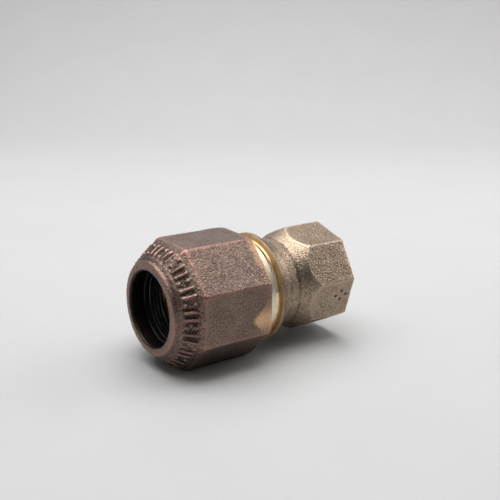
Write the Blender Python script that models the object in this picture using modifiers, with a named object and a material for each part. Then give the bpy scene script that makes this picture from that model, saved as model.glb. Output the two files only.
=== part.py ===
"""Compression coupling for 3/4 in copper-tube-size tube by 3/4 in female pipe thread.

Everything is turned about one axis. Stations are measured along it from the nut's mouth, z = 0, and an
empty lays that axis along +X with the origin at mid-length. Metres, +Z up.
"""

import math

import bmesh
import bpy
from mathutils import Matrix

# Driving dimensions, metres.
MM = 0.001
TUBE_OD = 22.22 * MM
TUBE_CLEARANCE = 0.32 * MM  # radial, tube to any bore that it passes
GAP = 0.3 * MM  # between neighbours that only touch
CUTTER_END = 1.0 * MM  # how far a cutter stands out of what it cuts
SEGMENTS = 48

# Compression nut.
NUT_LENGTH = 31.5 * MM
NUT_WALL = 2.93 * MM  # at a flat, outside the thread
NUT_LIP_WALL = 3.07 * MM
NUT_LIP_ROUND = 1.2 * MM
NUT_LIP_THICKNESS = 4.7 * MM
NUT_LIP_STEP = 0.8 * MM  # height of the step from the lip to the cone
NUT_FLATS_START = 7.92 * MM  # station where the cone meets the octagon's corners
NUT_REAR_TURN = 0.5 * MM  # how far the rear corners are turned off
NUT_REAR_TURN_LENGTH = 3.0 * MM
NUT_MOUTH_ROUND = 0.9 * MM
NUT_REAR_CHAMFER = 0.5 * MM

# Thread between nut and body: right-handed.
NUT_PITCH = 2.309 * MM
NUT_THREAD_DEPTH = 1.1 * MM
NUT_THREAD_CLEARANCE = 0.27 * MM
THREAD_ROOT_SHARE = 0.37  # half width of a ridge at its root, in pitches
THREAD_CREST_SHARE = 0.11
THREAD_FLANK_CLEARANCE = 0.16 * MM
ENGAGED_LENGTH = 7.2 * MM  # hand tight

# Body.
SPIGOT_WALL = 3.32 * MM  # under the thread
SHOULDER_GAP = 5.1 * MM  # nut's rear face to the shoulder, hand tight
LAND_HEIGHT = 0.12 * MM  # polished land above the thread's crests
SHOULDER_HEIGHT = 1.4 * MM
SHOULDER_SLANT = 0.4 * MM
SHOULDER_THICKNESS = 1.5 * MM
RIM_ROUND = 0.3 * MM
SEAT_LENGTH = 5.2 * MM
SEAT_HEIGHT = 2.67 * MM  # radial height of the gasket's taper
TUBE_SOCKET_DEPTH = 19.5 * MM  # from the seat's inner end to the tube stop
STOP_STEP = 1.8 * MM
NECK_WALL = 2.97 * MM
NECK_LENGTH = 9.15 * MM
NECK_FILLET_LENGTH = 4.2 * MM
BODY_CONE_LENGTH = 5.5 * MM
PIPE_END_LENGTH = 13.65 * MM  # along the octagon's corners
PIPE_WALL = 2.7 * MM  # at a flat, outside the pipe thread
BODY_TURN = math.radians(15.0)  # of the body's octagon from the nut's
EDGE_CHAMFER = 0.45 * MM
CONE_STEPS = 5

# Female pipe thread: 3/4-14, tapered 1 in 16 on diameter.
PIPE_PITCH = 25.4 / 14 * MM
PIPE_MAJOR_RADIUS = 13.25 * MM  # at the mouth
PIPE_THREAD_DEPTH = 1.15 * MM
PIPE_THREAD_LENGTH = 13.5 * MM
PIPE_TAPER = 1 / 32
PIPE_MOUTH_CHAMFER = 0.7 * MM
PIPE_RELIEF_LENGTH = 3.2 * MM

# Packing, in order from the nut's lip.
WASHER_BORE_CLEARANCE = 0.1 * MM
SLIP_WASHER_THICKNESS = 1.6 * MM
GRIP_RING_LENGTH = 4.6 * MM
GRIP_RING_TAPER = 0.9 * MM
GRIP_TEETH = 4
GRIP_TOOTH_HEIGHT = 0.55 * MM
GRIP_TOOTH_BACK = 0.1 * MM
GRIP_SPLIT = 2.2 * MM
BACKING_WASHER_THICKNESS = 1.3 * MM
GASKET_HEEL_LENGTH = 3.4 * MM
GASKET_BORE_CLEARANCE = 0.05 * MM
SPRING_COIL_RADIUS = 0.45 * MM
SPRING_WIRE_RADIUS = 0.18 * MM
SPRING_TURNS = 48
SPRING_POINTS_PER_TURN = 6

# Derived radii.
HALF_FACET = math.tau / 16
TUBE_WAY = TUBE_OD / 2 + TUBE_CLEARANCE
THREAD_CORE = TUBE_WAY + SPIGOT_WALL
THREAD_MAJOR = THREAD_CORE + NUT_THREAD_DEPTH
CHAMBER_RADIUS = THREAD_CORE + NUT_THREAD_CLEARANCE
PACKING_RADIUS = CHAMBER_RADIUS - GAP
NUT_APOTHEM = THREAD_MAJOR + NUT_THREAD_CLEARANCE + NUT_WALL
NUT_LIP_RADIUS = TUBE_WAY + NUT_LIP_WALL
LAND_RADIUS = THREAD_MAJOR + LAND_HEIGHT
SHOULDER_RADIUS = LAND_RADIUS + SHOULDER_HEIGHT
COUNTERBORE_RADIUS = LAND_RADIUS + GAP
SEAT_MOUTH_RADIUS = TUBE_WAY + SEAT_HEIGHT
STOP_RADIUS = TUBE_WAY - STOP_STEP
NECK_RADIUS = TUBE_WAY + NECK_WALL
PIPE_MINOR_RADIUS = PIPE_MAJOR_RADIUS - PIPE_THREAD_DEPTH
BODY_APOTHEM = PIPE_MAJOR_RADIUS + PIPE_WALL

# Derived stations, from the mouth to the pipe end.
SLIP_WASHER_FRONT = NUT_LIP_THICKNESS + GAP
GRIP_RING_FRONT = SLIP_WASHER_FRONT + SLIP_WASHER_THICKNESS + GAP
BACKING_WASHER_FRONT = GRIP_RING_FRONT + GRIP_RING_LENGTH + GAP
GASKET_FRONT = BACKING_WASHER_FRONT + BACKING_WASHER_THICKNESS + GAP
GASKET_HEEL_END = GASKET_FRONT + GASKET_HEEL_LENGTH
LAND_START = NUT_LENGTH - 2 * GAP  # the polished land begins just inside the nut
COUNTERBORE_START = LAND_START - SHOULDER_GAP
SPIGOT_FRONT = COUNTERBORE_START - ENGAGED_LENGTH
SEAT_END = SPIGOT_FRONT + SEAT_LENGTH
TUBE_STOP = SEAT_END + TUBE_SOCKET_DEPTH
SHOULDER_FRONT = NUT_LENGTH + SHOULDER_GAP
RIM_END = SHOULDER_FRONT + SHOULDER_THICKNESS
CONE_START = RIM_END + NECK_LENGTH
BODY_FLATS_START = CONE_START + BODY_CONE_LENGTH
OVERALL_LENGTH = BODY_FLATS_START + PIPE_END_LENGTH
PIPE_THREAD_START = OVERALL_LENGTH - PIPE_THREAD_LENGTH
RELIEF_START = PIPE_THREAD_START - PIPE_RELIEF_LENGTH


def clear_scene():
    for scene_object in list(bpy.data.objects):
        bpy.data.objects.remove(scene_object, do_unlink=True)


def new_collection(name):
    collection = bpy.data.collections.new(name)
    bpy.context.scene.collection.children.link(collection)
    return collection


def make_material(name, colour, roughness, metallic):
    material = bpy.data.materials.new(name)
    material.use_nodes = True
    shader = material.node_tree.nodes["Principled BSDF"]
    shader.inputs["Base Color"].default_value = (*colour, 1.0)
    shader.inputs["Roughness"].default_value = roughness
    shader.inputs["Metallic"].default_value = metallic
    return material


def link_object(name, data, collection, parent, material=None):
    made = bpy.data.objects.new(name, data)
    collection.objects.link(made)
    made.parent = parent
    if material:
        data.materials.append(material)
    if collection is cutters:
        made.hide_render = True
        made.display_type = "WIRE"
    return made


def add_boolean(target, operation, tool):
    modifier = target.modifiers.new(tool.name, "BOOLEAN")
    modifier.operation = operation
    modifier.object = tool
    modifier.solver = "EXACT"


def turned(name, outline, collection, material=None):
    """A closed outline of (radius, station) points, up the inside and down the outside, turned about Z."""
    mesh = bpy.data.meshes.new(name)
    builder = bmesh.new()
    points = [builder.verts.new((radius, 0.0, station)) for radius, station in outline]
    for start, end in zip(points, points[1:] + points[:1]):
        if start.co.x > 0 or end.co.x > 0:
            builder.edges.new((start, end))
    builder.to_mesh(mesh)
    builder.free()
    made = link_object(name, mesh, collection, axis_empty, material)
    screw = made.modifiers.new("turn", "SCREW")
    screw.axis = "Z"
    screw.angle = math.tau
    screw.steps = SEGMENTS
    screw.render_steps = SEGMENTS
    screw.use_merge_vertices = True
    screw.merge_threshold = 0.00001
    mesh.shade_smooth()
    return made


def octagon_radius(apothem, corner_angle, angle):
    """Distance from the axis to an octagon's edge along a direction."""
    from_flat = (angle - corner_angle) % (2 * HALF_FACET) - HALF_FACET
    return apothem / math.cos(from_flat)


def lofted(name, sections, collection, material):
    """A solid through rings: each section is (station, function from angle to radius)."""
    mesh = bpy.data.meshes.new(name)
    builder = bmesh.new()
    angles = [math.tau * step / SEGMENTS for step in range(SEGMENTS)]
    rings = []
    for station, radius_at in sections:
        ring = [
            builder.verts.new((radius_at(a) * math.cos(a), radius_at(a) * math.sin(a), station))
            for a in angles
        ]
        rings.append(ring)
    for low, high in zip(rings, rings[1:]):
        for step in range(SEGMENTS):
            following = (step + 1) % SEGMENTS
            builder.faces.new((low[step], low[following], high[following], high[step]))
    builder.faces.new(reversed(rings[0]))
    builder.faces.new(rings[-1])
    builder.to_mesh(mesh)
    builder.free()
    return link_object(name, mesh, collection, axis_empty, material)


def round_section(radius):
    return lambda angle: radius


def octagon_section(apothem, corner_angle, limit):
    """An octagon whose corners are turned down to a circle of radius limit."""
    return lambda angle: min(octagon_radius(apothem, corner_angle, angle), limit)


def thread_ridge(name, root, crest, start, length, pitch, widen, taper, collection):
    """A right-hand helical ridge from radius root to crest, swept from one trapezoid face."""
    turns = length / pitch
    steps = round(turns * SEGMENTS / 2)
    root_half = THREAD_ROOT_SHARE * pitch + widen
    crest_half = THREAD_CREST_SHARE * pitch + widen
    mesh = bpy.data.meshes.new(name)
    builder = bmesh.new()
    corners = [(root, -root_half), (crest, -crest_half), (crest, crest_half), (root, root_half)]
    face = builder.faces.new([builder.verts.new((r, 0.0, z)) for r, z in corners])
    bmesh.ops.spin(
        builder,
        geom=[face, *face.edges, *face.verts],
        axis=(0, 0, 1),
        cent=(0, 0, 0),
        dvec=(0, 0, length / steps),
        angle=math.tau * turns,
        steps=steps,
        use_duplicate=False,
    )
    for vert in builder.verts:
        away = math.hypot(vert.co.x, vert.co.y)
        scale = (away - taper * (length - vert.co.z)) / away
        vert.co.x *= scale
        vert.co.y *= scale
        vert.co.z += start
    bmesh.ops.recalc_face_normals(builder, faces=builder.faces[:])
    builder.to_mesh(mesh)
    builder.free()
    return link_object(name, mesh, collection, axis_empty)


def arc(radius_centre, station_centre, size, start, end, steps=4):
    """Points of a quarter round or fillet in an outline."""
    points = []
    for step in range(steps + 1):
        angle = math.radians(start + (end - start) * step / steps)
        points.append((radius_centre + size * math.cos(angle), station_centre + size * math.sin(angle)))
    return points


def build_compression_nut(material):
    corner_radius = NUT_APOTHEM / math.cos(HALF_FACET)
    octagon = octagon_section(NUT_APOTHEM, HALF_FACET, corner_radius)
    rear = octagon_section(NUT_APOTHEM, HALF_FACET, corner_radius - NUT_REAR_TURN)
    lip = arc(NUT_LIP_RADIUS - NUT_LIP_ROUND, NUT_LIP_ROUND, NUT_LIP_ROUND, -90, 0, 3)
    sections = [(station, round_section(radius)) for radius, station in lip]
    sections += [
        (NUT_LIP_ROUND + 0.5 * NUT_LIP_STEP, round_section(NUT_LIP_RADIUS + NUT_LIP_STEP)),
        (NUT_FLATS_START, octagon),
        (NUT_LENGTH - NUT_REAR_TURN_LENGTH, octagon),
        (NUT_LENGTH, rear),
    ]
    nut = lofted("compression_nut", sections, parts, material)
    mouth = arc(TUBE_WAY + NUT_MOUTH_ROUND, NUT_MOUTH_ROUND, NUT_MOUTH_ROUND, 180, 270, 3)
    bore_outline = [
        (0.0, -CUTTER_END),
        (0.0, NUT_LENGTH + CUTTER_END),
        (COUNTERBORE_RADIUS + CUTTER_END + NUT_REAR_CHAMFER, NUT_LENGTH + CUTTER_END),
        (COUNTERBORE_RADIUS, NUT_LENGTH - NUT_REAR_CHAMFER),
        (COUNTERBORE_RADIUS, COUNTERBORE_START),
        (CHAMBER_RADIUS, COUNTERBORE_START - (COUNTERBORE_RADIUS - CHAMBER_RADIUS)),
        (CHAMBER_RADIUS, NUT_LIP_THICKNESS),
        (TUBE_WAY, NUT_LIP_THICKNESS),
        *mouth,
        (TUBE_WAY + NUT_MOUTH_ROUND, -CUTTER_END),
    ]
    add_boolean(nut, "DIFFERENCE", turned("nut_bore", bore_outline, cutters))
    # The threads start whole turns apart, to be in mesh, and far enough apart for the nut to close its gap.
    lead_in = math.ceil(SHOULDER_GAP / NUT_PITCH) * NUT_PITCH
    groove = thread_ridge(
        "nut_thread_groove",
        CHAMBER_RADIUS - GAP,
        THREAD_MAJOR + NUT_THREAD_CLEARANCE,
        SPIGOT_FRONT + NUT_PITCH / 2 - lead_in,
        COUNTERBORE_START - SPIGOT_FRONT + lead_in,
        NUT_PITCH,
        THREAD_FLANK_CLEARANCE,
        0.0,
        cutters,
    )
    add_boolean(nut, "DIFFERENCE", groove)
    return nut


def build_body(material):
    corner = HALF_FACET + BODY_TURN
    corner_radius = BODY_APOTHEM / math.cos(HALF_FACET)
    slope = (corner_radius - NECK_RADIUS) / BODY_CONE_LENGTH

    def flare(station):
        """The cone, cut by the octagon's flats."""
        return octagon_section(BODY_APOTHEM, corner, NECK_RADIUS + slope * (station - CONE_START))

    fillet_height = SHOULDER_RADIUS - NECK_RADIUS
    front = [
        (SPIGOT_FRONT, THREAD_CORE - EDGE_CHAMFER),
        (SPIGOT_FRONT + EDGE_CHAMFER, THREAD_CORE),
        (LAND_START, THREAD_CORE),
        (LAND_START + EDGE_CHAMFER, LAND_RADIUS - 0.5 * EDGE_CHAMFER),
        (LAND_START + 1.5 * EDGE_CHAMFER, LAND_RADIUS),
        (SHOULDER_FRONT, LAND_RADIUS),
        (SHOULDER_FRONT + SHOULDER_SLANT, SHOULDER_RADIUS),
        (RIM_END - RIM_ROUND, SHOULDER_RADIUS),
        (RIM_END, SHOULDER_RADIUS - RIM_ROUND),
    ]
    neck = [
        (RIM_END + along * NECK_FILLET_LENGTH, SHOULDER_RADIUS - down * fillet_height)
        for along, down in ((0.15, 0.55), (0.45, 0.84), (1.0, 1.0))
    ]
    sections = [(station, round_section(radius)) for station, radius in front + neck]
    sections.append((CONE_START, round_section(NECK_RADIUS)))
    for step in range(1, CONE_STEPS + 1):
        station = CONE_START + BODY_CONE_LENGTH * step / CONE_STEPS
        sections.append((station, flare(station)))
    sections.append((OVERALL_LENGTH, octagon_section(BODY_APOTHEM, corner, corner_radius)))
    body = lofted("body", sections, parts, material)
    ridge = thread_ridge(
        "body_thread",
        THREAD_CORE - GAP,
        THREAD_MAJOR,
        SPIGOT_FRONT + NUT_PITCH / 2,
        LAND_START - SPIGOT_FRONT - NUT_PITCH,
        NUT_PITCH,
        0.0,
        0.0,
        cutters,
    )
    add_boolean(body, "UNION", ridge)
    thread_inner = PIPE_MINOR_RADIUS - PIPE_TAPER * PIPE_THREAD_LENGTH
    bore_outline = [
        (0.0, SPIGOT_FRONT - CUTTER_END),
        (0.0, OVERALL_LENGTH + CUTTER_END),
        (PIPE_MAJOR_RADIUS + PIPE_MOUTH_CHAMFER, OVERALL_LENGTH + CUTTER_END),
        (PIPE_MAJOR_RADIUS + PIPE_MOUTH_CHAMFER, OVERALL_LENGTH),
        (PIPE_MINOR_RADIUS, OVERALL_LENGTH - PIPE_THREAD_DEPTH - PIPE_MOUTH_CHAMFER),
        (thread_inner, PIPE_THREAD_START),
        (thread_inner, RELIEF_START),
        (STOP_RADIUS, RELIEF_START - PIPE_THREAD_DEPTH),
        (STOP_RADIUS, TUBE_STOP),
        (TUBE_WAY, TUBE_STOP),
        (TUBE_WAY, SEAT_END),
        (SEAT_MOUTH_RADIUS, SPIGOT_FRONT),
        (SEAT_MOUTH_RADIUS, SPIGOT_FRONT - CUTTER_END),
    ]
    add_boolean(body, "DIFFERENCE", turned("body_bore", bore_outline, cutters))
    groove = thread_ridge(
        "pipe_thread_groove",
        PIPE_MINOR_RADIUS - GAP,
        PIPE_MAJOR_RADIUS,
        PIPE_THREAD_START,
        PIPE_THREAD_LENGTH + PIPE_PITCH,
        PIPE_PITCH,
        0.0,
        PIPE_TAPER,
        cutters,
    )
    add_boolean(body, "DIFFERENCE", groove)
    return body


def build_washer(name, front, thickness, material):
    outline = [
        (TUBE_WAY + WASHER_BORE_CLEARANCE, front),
        (TUBE_WAY + WASHER_BORE_CLEARANCE, front + thickness),
        (PACKING_RADIUS, front + thickness),
        (PACKING_RADIUS, front),
    ]
    return turned(name, outline, parts, material)


def build_grip_ring(material):
    """A split ring: a taper outside, teeth inside that lean towards the body, and one saw cut."""
    back = GRIP_RING_FRONT + GRIP_RING_LENGTH
    root = TUBE_WAY + GRIP_TOOTH_HEIGHT
    tooth = GRIP_RING_LENGTH / GRIP_TEETH
    teeth = [(TUBE_WAY, GRIP_RING_FRONT)]
    for number in range(1, GRIP_TEETH):
        station = GRIP_RING_FRONT + tooth * number
        teeth += [(root, station - GRIP_TOOTH_BACK), (TUBE_WAY, station)]
    teeth.append((root, back))
    outline = [
        *teeth,
        (PACKING_RADIUS, back),
        (PACKING_RADIUS, GRIP_RING_FRONT + 0.5 * GRIP_RING_LENGTH),
        (PACKING_RADIUS - GRIP_RING_TAPER, GRIP_RING_FRONT),
    ]
    ring = turned("grip_ring", outline, parts, material)
    mesh = bpy.data.meshes.new("grip_ring_split")
    builder = bmesh.new()
    place = Matrix.Translation((-PACKING_RADIUS, 0.0, GRIP_RING_FRONT + 0.5 * GRIP_RING_LENGTH))
    bmesh.ops.create_cube(builder, size=1.0, matrix=place @ Matrix.Diagonal(
        (PACKING_RADIUS, GRIP_SPLIT, 2 * GRIP_RING_LENGTH, 1.0)))
    builder.to_mesh(mesh)
    builder.free()
    add_boolean(ring, "DIFFERENCE", link_object("grip_ring_split", mesh, cutters, axis_empty))
    return ring


def seat_radius(station):
    """Radius of the body's tapered seat at a station."""
    return SEAT_MOUTH_RADIUS - SEAT_HEIGHT * (station - SPIGOT_FRONT) / SEAT_LENGTH


def spring_place():
    """Radius and station of the armour spring's circle: as deep in the taper as it fits."""
    reach = SPRING_COIL_RADIUS + SPRING_WIRE_RADIUS
    radius = TUBE_WAY + GAP + reach
    share = (SEAT_HEIGHT - 2 * reach - 2 * GAP) / SEAT_HEIGHT
    return radius, SPIGOT_FRONT + SEAT_LENGTH * share


def build_gasket(material):
    """A rubber ring with a square heel and a bevelled nose that enters the body's taper."""
    inner = TUBE_WAY + GASKET_BORE_CLEARANCE
    spring_radius, spring_station = spring_place()
    nose_end = spring_station - SPRING_COIL_RADIUS - SPRING_WIRE_RADIUS - GAP
    nose_radius = SEAT_MOUTH_RADIUS - GAP
    outline = [
        (inner, GASKET_FRONT),
        (inner, nose_end),
        (seat_radius(nose_end) - GAP, nose_end),
        (nose_radius, SPIGOT_FRONT),
        (nose_radius, GASKET_HEEL_END),
        (PACKING_RADIUS, GASKET_HEEL_END),
        (PACKING_RADIUS, GASKET_FRONT),
    ]
    return turned("gasket", outline, parts, material)


def build_armour_spring(material):
    """A coil of wire closed into a ring: a helix wound round a circle."""
    curve = bpy.data.curves.new("armour_spring_wire", "CURVE")
    curve.dimensions = "3D"
    curve.bevel_depth = SPRING_WIRE_RADIUS
    curve.bevel_resolution = 1
    spline = curve.splines.new("POLY")
    count = SPRING_TURNS * SPRING_POINTS_PER_TURN
    spline.points.add(count - 1)
    spline.use_cyclic_u = True
    ring_radius, station = spring_place()
    for number, point in enumerate(spline.points):
        around = math.tau * number / count
        winding = SPRING_TURNS * around
        radius = ring_radius + SPRING_COIL_RADIUS * math.cos(winding)
        height = station + SPRING_COIL_RADIUS * math.sin(winding)
        point.co = (radius * math.cos(around), radius * math.sin(around), height, 1.0)
    return link_object("armour_spring", curve, parts, axis_empty, material)


clear_scene()
parts = new_collection("compression_fitting")
cutters = new_collection("cutters")
axis_empty = bpy.data.objects.new("fitting_axis", None)
parts.objects.link(axis_empty)
axis_empty.rotation_euler = (0.0, math.radians(90), 0.0)
axis_empty.location = (-OVERALL_LENGTH / 2, 0.0, 0.0)

oxidised_bronze = make_material("oxidised_bronze", (0.22, 0.15, 0.13), 0.5, 0.7)
cast_bronze = make_material("cast_bronze", (0.36, 0.29, 0.22), 0.45, 0.8)
steel = make_material("stainless_steel", (0.55, 0.55, 0.55), 0.35, 1.0)
brass = make_material("turned_brass", (0.7, 0.5, 0.22), 0.3, 1.0)
rubber = make_material("nitrile_rubber", (0.02, 0.02, 0.02), 0.7, 0.0)
acetal = make_material("acetal", (0.03, 0.03, 0.03), 0.45, 0.0)

build_body(cast_bronze)
build_compression_nut(oxidised_bronze)
build_washer("slip_washer", SLIP_WASHER_FRONT, SLIP_WASHER_THICKNESS, acetal)
build_grip_ring(steel)
build_washer("backing_washer", BACKING_WASHER_FRONT, BACKING_WASHER_THICKNESS, brass)
build_gasket(rubber)
build_armour_spring(steel)
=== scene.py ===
# %% [markdown]
# # A bronze compression coupling
#
# This lesson finishes a plumbing fitting: a sand-cast compression nut, a cast body with a female pipe end,
# and the packing that the nut squeezes onto a copper tube. The frame gives every size and place, and the
# fitting lies along X, with the nut's mouth at the low end.
#
# The frame is loaded first and never changed. Each piece made here stands for one of its nodes, so sizes and
# places are read from the boxes of those nodes wherever they can be.

# %% Load the frame
import math

import bmesh
import bpy
import numpy as np
from mathutils import Matrix, Vector


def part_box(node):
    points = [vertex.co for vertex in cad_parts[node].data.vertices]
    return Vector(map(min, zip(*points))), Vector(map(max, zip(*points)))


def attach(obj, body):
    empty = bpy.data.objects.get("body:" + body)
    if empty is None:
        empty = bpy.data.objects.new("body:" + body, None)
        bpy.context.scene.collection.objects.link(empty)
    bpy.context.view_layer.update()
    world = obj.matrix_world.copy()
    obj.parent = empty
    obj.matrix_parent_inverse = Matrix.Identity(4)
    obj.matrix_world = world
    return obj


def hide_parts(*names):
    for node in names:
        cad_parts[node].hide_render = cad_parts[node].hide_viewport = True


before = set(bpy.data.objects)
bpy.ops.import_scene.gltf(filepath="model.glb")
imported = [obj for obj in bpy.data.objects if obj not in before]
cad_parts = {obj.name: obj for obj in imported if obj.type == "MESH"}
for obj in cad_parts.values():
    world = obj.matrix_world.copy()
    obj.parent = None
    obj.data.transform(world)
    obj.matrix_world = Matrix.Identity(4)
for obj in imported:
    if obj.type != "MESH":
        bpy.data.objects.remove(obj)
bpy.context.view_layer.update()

MM = 0.001
nut_low, nut_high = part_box("compression_nut")
body_low, body_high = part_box("body")
MOUTH = nut_low.x
NUT_REAR = nut_high.x
NUT_APOTHEM = nut_high.z
SPIGOT_FRONT = body_low.x
PIPE_END = body_high.x
nut_length = round((NUT_REAR - MOUTH) / MM, 2)
fitting_length = round((PIPE_END - MOUTH) / MM, 2)
print("nut", nut_length, "mm long, whole fitting", fitting_length, "mm")

# %% [markdown]
# ## Camera
#
# A product shot of a small part is taken from close by with a short telephoto lens. The camera looks along
# the fitting from the mouth's side, a little above it, and hangs about one degree off level. Its place could
# be set by dragging, but two angles and a distance are easier to adjust a little at a time.

# %% Camera
CAMERA_AZIMUTH = math.radians(-36.65)
CAMERA_ELEVATION = math.radians(16.77)
CAMERA_ROLL = math.radians(1.18)
CAMERA_DISTANCE = 257.6 * MM
CAMERA_LENS = 58.7  # focal length in mm
CAMERA_AIM = Vector((4.36, 1.19, 11.82)) * MM

camera_data = bpy.data.cameras.new("product_camera")
camera_data.lens = CAMERA_LENS
camera = bpy.data.objects.new("product_camera", camera_data)
bpy.context.scene.collection.objects.link(camera)
towards_camera = Vector(
    (
        math.sin(CAMERA_AZIMUTH) * math.cos(CAMERA_ELEVATION),
        -math.cos(CAMERA_AZIMUTH) * math.cos(CAMERA_ELEVATION),
        math.sin(CAMERA_ELEVATION),
    )
)
level = towards_camera.to_track_quat("Z", "Y").to_matrix().to_4x4()
turn = Matrix.Rotation(CAMERA_ROLL, 4, "Z")
camera.matrix_world = Matrix.Translation(CAMERA_AIM + towards_camera * CAMERA_DISTANCE) @ level @ turn
camera_data.clip_start = 10 * MM
bpy.context.scene.camera = camera
print("camera at", [round(v / MM, 1) for v in camera.matrix_world.translation], "mm")

# %% [markdown]
# ## Helpers for modelling
#
# An edit-mode operator acts on whatever is selected, so each helper starts by deselecting everything. `pick`
# then selects by place or normal, as a box or a click would. `settle` moves a new primitive's place into its
# mesh, so that every finished piece keeps its object at the origin, and `boolean` removes its tool afterwards.

# %% Selecting and applying
ROUND = 128  # corners of a turned circle
WELD = 0.001 * MM  # points closer than this are one


def only(piece):
    bpy.ops.object.select_all(action="DESELECT")
    piece.select_set(True)
    bpy.context.view_layer.objects.active = piece


def open_mesh(piece, kind):
    only(piece)
    bpy.ops.object.mode_set(mode="EDIT")
    bpy.ops.mesh.select_mode(type=kind)
    bpy.ops.mesh.select_all(action="DESELECT")


def close_mesh():
    bpy.ops.object.mode_set(mode="OBJECT")


def pick(piece, kind, wanted):
    """Selects the vertices, edges or faces whose middle and normal pass a test."""
    mesh = bmesh.from_edit_mesh(piece.data)
    items = {"VERT": mesh.verts, "EDGE": mesh.edges, "FACE": mesh.faces}[kind]
    count = 0
    for item in items:
        middle = item.co if kind == "VERT" else sum((v.co for v in item.verts), Vector()) / len(item.verts)
        if wanted(middle, item):
            item.select_set(True)
            count += 1
    mesh.select_flush_mode()
    bmesh.update_edit_mesh(piece.data)
    return count


def settle(piece, name):
    """Names a new primitive and moves its place into its mesh."""
    piece.name = name
    piece.data.name = name
    only(piece)
    bpy.ops.object.transform_apply(location=True, rotation=True, scale=True)
    return piece


def apply_modifier(piece, kind, **settings):
    only(piece)
    modifier = piece.modifiers.new(kind.lower(), kind)
    for key, value in settings.items():
        setattr(modifier, key, value)
    bpy.ops.object.modifier_apply(modifier=modifier.name)


def boolean(piece, operation, tool, solver="MANIFOLD"):
    """Joins or cuts with a tool, then puts the tool away."""
    before = len(piece.data.polygons)
    apply_modifier(piece, "BOOLEAN", operation=operation, object=tool, solver=solver)
    print("  ", operation.lower(), tool.name, before, "->", len(piece.data.polygons), "faces")
    bpy.data.objects.remove(tool, do_unlink=True)


def radius_of(point):
    return math.hypot(point.y, point.z)


# %% [markdown]
# ## Turning
#
# Round shapes are drawn as a lathe operator thinks of them: a ring at one station, pushed along the axis and
# opened or closed, again and again. Each push is an extrude with a resize about the axis. Spin would turn a
# drawn section in one go, but it leaves a seam to weld and two ends to cap.

# %% Lathe
def push(dx, scale):
    bpy.ops.mesh.extrude_region_move(TRANSFORM_OT_translate={"value": (dx, 0, 0)})
    if not math.isclose(scale, 1):
        bpy.ops.transform.resize(value=(1, scale, scale), center_override=(0, 0, 0))


def lathe(name, section, hollow=False):
    """Turns (x, radius) points about X. A solid is capped at both ends; a hollow one closes on itself."""
    bpy.ops.object.select_all(action="DESELECT")
    x, radius = section[0]
    fill = "NOTHING" if hollow else "NGON"
    bpy.ops.mesh.primitive_circle_add(
        vertices=ROUND, radius=radius, fill_type=fill, location=(x, 0, 0), rotation=(0, math.pi / 2, 0)
    )
    piece = settle(bpy.context.object, name)
    open_mesh(piece, "VERT")
    bpy.ops.mesh.select_all(action="SELECT")
    for next_x, next_radius in section[1:] + (section[:1] if hollow else []):
        push(next_x - x, next_radius / radius)
        x, radius = next_x, next_radius
    bpy.ops.mesh.select_all(action="SELECT")
    bpy.ops.mesh.remove_doubles(threshold=WELD)
    bpy.ops.mesh.normals_make_consistent(inside=False)
    close_mesh()
    return piece


def arc(x, radius, size, start, end, steps=6):
    """Points of a rounded corner, centred at (x, radius); angle 0 points along +X, 90 away from the axis."""
    points = []
    for step in range(steps + 1):
        angle = math.radians(start + (end - start) * step / steps)
        points.append((x + size * math.cos(angle), radius + size * math.sin(angle)))
    return points


# %% [markdown]
# ## Threads
#
# A thread is one trapezoid carried round the axis while it moves along. The Screw modifier does exactly
# that. The same coil makes a ridge when it is joined to a rod and a groove when it is cut from a bore. A pipe
# thread also tapers, and its coil is drawn in towards the axis point by point.

# %% Thread coil
THREAD_STEPS = 72  # facets to a turn
THREAD_SINK = 0.3 * MM  # how far a coil's root lies inside the wall, so that the two overlap


def thread_coil(name, root, crest, start, turns, pitch, root_width, crest_width, taper=0.0):
    """A closed coil from radius `root` out to `crest`; `taper` is the loss of radius per length along X."""
    bpy.ops.object.select_all(action="DESELECT")
    middle = (root + crest) / 2
    bpy.ops.mesh.primitive_plane_add(size=1, location=(start, 0, middle), rotation=(math.pi / 2, 0, 0))
    coil = bpy.context.object
    coil.scale = (root_width, crest - root, 1)
    settle(coil, name)
    open_mesh(coil, "VERT")
    pick(coil, "VERT", lambda place, item: place.z > middle)
    bpy.ops.transform.resize(
        value=(crest_width / root_width, 1, 1), center_override=(start, 0, crest)
    )
    bpy.ops.mesh.select_all(action="SELECT")
    bpy.ops.mesh.delete(type="ONLY_FACE")
    close_mesh()
    steps = round(THREAD_STEPS * turns)
    apply_modifier(
        coil,
        "SCREW",
        axis="X",
        angle=math.tau * turns,
        screw_offset=pitch * turns,
        steps=steps,
        render_steps=steps,
        use_merge_vertices=False,
    )
    open_mesh(coil, "EDGE")
    bpy.ops.mesh.select_non_manifold()
    bpy.ops.mesh.edge_face_add()
    bpy.ops.mesh.select_all(action="SELECT")
    bpy.ops.mesh.normals_make_consistent(inside=False)
    close_mesh()
    if taper:
        for vert in coil.data.vertices:
            away = radius_of(vert.co)
            scale = (away - taper * (start + pitch * turns - vert.co.x)) / away
            vert.co.y *= scale
            vert.co.z *= scale
    return coil


# %% [markdown]
# ## Cast surfaces
#
# Sand casting leaves soft edges, slow waves in flat faces and a grain from the sand. The coarse shape is
# remeshed to an even skin, smoothed a little so that every edge is as soft as the mould made it, and then
# displaced twice: once for the waves and once for the sand. A bump map alone would leave the outline and the
# edges perfectly straight, and those are what the eye checks first on a casting.

# %% Casting skin
SKIN = 0.26 * MM
SKIN_INWARDS = 0.85  # share of the displacement that goes inwards, to stay inside the frame's box
WAVE_LENGTH = 5 * MM


def soft_skin(piece, soften):
    apply_modifier(piece, "REMESH", mode="VOXEL", voxel_size=SKIN)
    apply_modifier(piece, "SMOOTH", factor=0.5, iterations=soften)


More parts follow.
